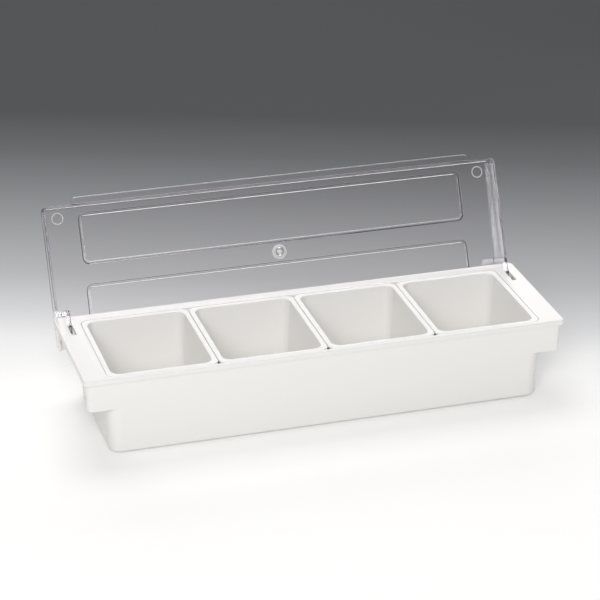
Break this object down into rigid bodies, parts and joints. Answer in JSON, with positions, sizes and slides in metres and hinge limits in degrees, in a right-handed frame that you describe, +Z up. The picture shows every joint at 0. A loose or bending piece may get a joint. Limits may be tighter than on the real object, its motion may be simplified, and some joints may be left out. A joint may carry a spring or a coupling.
{
  "type": "condiment caddy",
  "caption": "Long white plastic condiment caddy with lift-out inserts in a row and a clear lid that tips back on gooseneck hinge arms.",
  "frame": {"origin": "centre of the underside of the base", "axes": "+X along the length to the user's right, +Y towards the hinge side, +Z up"},
  "size_m": [0.495, 0.2137, 0.1916],
  "materials": {
    "white_base": "satin white moulded plastic with a faint flow texture",
    "white_insert": "smooth white moulded plastic, a little glossier than the base",
    "clear_lid": "clear polished plastic with a faint cool tint at its edges",
    "clear_arm": "clear polished plastic",
    "pin_steel": "plain drawn steel rod"
  },
  "bodies": {
    "base": {"caddy_base": "white_base", "hinge_pin_left": "pin_steel", "hinge_pin_right": "pin_steel"},
    "lid": {"lid_panel": "clear_lid", "hinge_arm_left": "clear_arm", "hinge_arm_right": "clear_arm"},
    "insert_far_left": {"insert_far_left": "white_insert"},
    "insert_mid_left": {"insert_mid_left": "white_insert"},
    "insert_mid_right": {"insert_mid_right": "white_insert"},
    "insert_far_right": {"insert_far_right": "white_insert"}
  },
  "joints": [
    {"name": "lid_hinge", "type": "hinge", "parent": "base", "child": "lid", "pos_m": [0, 0.0563, 0.0733], "axis": [-1, 0, 0], "range_deg": [-116.5, 0]},
    {"name": "insert_far_left_lift", "type": "slide", "parent": "base", "child": "insert_far_left", "axis": [0, 0, 1], "range_m": [0, 0.075]},
    {"name": "insert_mid_left_lift", "type": "slide", "parent": "base", "child": "insert_mid_left", "axis": [0, 0, 1], "range_m": [0, 0.075]},
    {"name": "insert_mid_right_lift", "type": "slide", "parent": "base", "child": "insert_mid_right", "axis": [0, 0, 1], "range_m": [0, 0.075]},
    {"name": "insert_far_right_lift", "type": "slide", "parent": "base", "child": "insert_far_right", "axis": [0, 0, 1], "range_m": [0, 0.075]}
  ]
}
